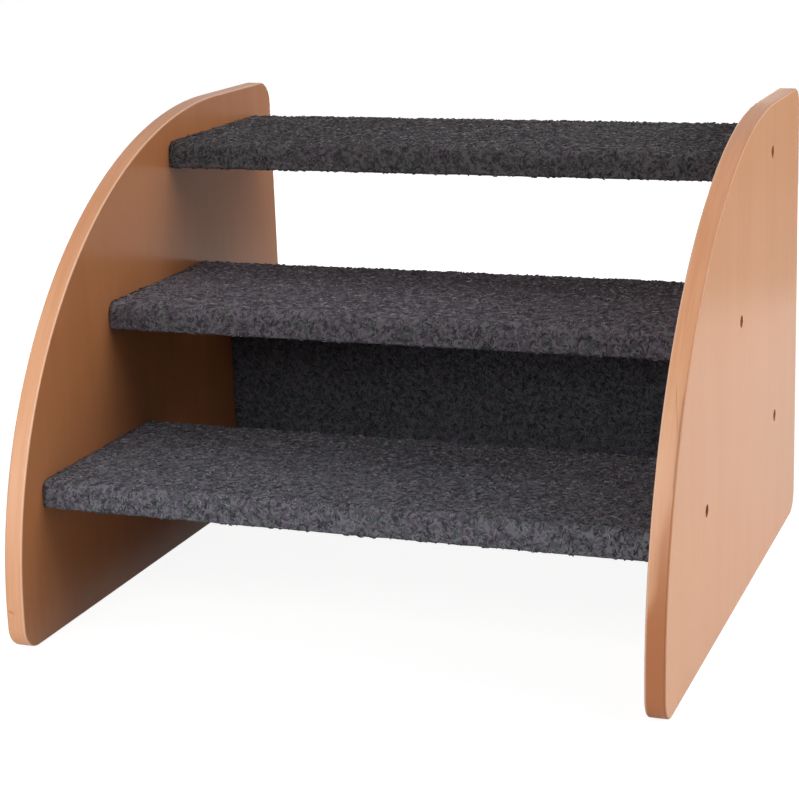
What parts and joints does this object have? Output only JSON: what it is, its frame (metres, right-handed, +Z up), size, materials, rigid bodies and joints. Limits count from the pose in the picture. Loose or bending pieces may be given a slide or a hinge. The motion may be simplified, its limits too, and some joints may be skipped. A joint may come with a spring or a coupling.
{
  "type": "pet stairs",
  "caption": "Low pet stairs: carpeted treads and a carpeted riser board screwed between two wooden side panels with a quarter-round front.",
  "frame": {"origin": "on the floor, in the middle of the footprint", "axes": "+X along the width towards the right panel as seen from the front, +Y to the back (the steps climb towards it), +Z up"},
  "size_m": [0.54, 0.52, 0.4],
  "materials": {
    "panel_beech": "satin lacquer",
    "core_board": "raw",
    "charcoal_felt": "needle felt",
    "bronzed_steel": "bronzed",
    "dowel_wood": "raw",
    "staple_wire": "zinc"
  },
  "bodies": {
    "root": {"bottom_tread_board": "core_board", "bottom_tread_carpet": "charcoal_felt", "bottom_tread_left_back_dowel": "dowel_wood", "bottom_tread_left_front_dowel": "dowel_wood", "bottom_tread_left_screw": "bronzed_steel", "bottom_tread_right_back_dowel": "dowel_wood", "bottom_tread_right_front_dowel": "dowel_wood", "bottom_tread_right_screw": "bronzed_steel", "bottom_tread_staples": "staple_wire", "left_side_panel": "panel_beech", "middle_tread_board": "core_board", "middle_tread_carpet": "charcoal_felt", "middle_tread_left_back_dowel": "dowel_wood", "middle_tread_left_front_dowel": "dowel_wood", "middle_tread_left_screw": "bronzed_steel", "middle_tread_right_back_dowel": "dowel_wood", "middle_tread_right_front_dowel": "dowel_wood", "middle_tread_right_screw": "bronzed_steel", "middle_tread_staples": "staple_wire", "right_side_panel": "panel_beech", "riser_board": "core_board", "riser_carpet": "charcoal_felt", "riser_left_lower_dowel": "dowel_wood", "riser_left_screw": "bronzed_steel", "riser_left_upper_dowel": "dowel_wood", "riser_right_lower_dowel": "dowel_wood", "riser_right_screw": "bronzed_steel", "riser_right_upper_dowel": "dowel_wood", "riser_staples": "staple_wire", "top_tread_board": "core_board", "top_tread_carpet": "charcoal_felt", "top_tread_left_back_dowel": "dowel_wood", "top_tread_left_front_dowel": "dowel_wood", "top_tread_left_screw": "bronzed_steel", "top_tread_right_back_dowel": "dowel_wood", "top_tread_right_front_dowel": "dowel_wood", "top_tread_right_screw": "bronzed_steel", "top_tread_staples": "staple_wire"}
  },
  "joints": []
}
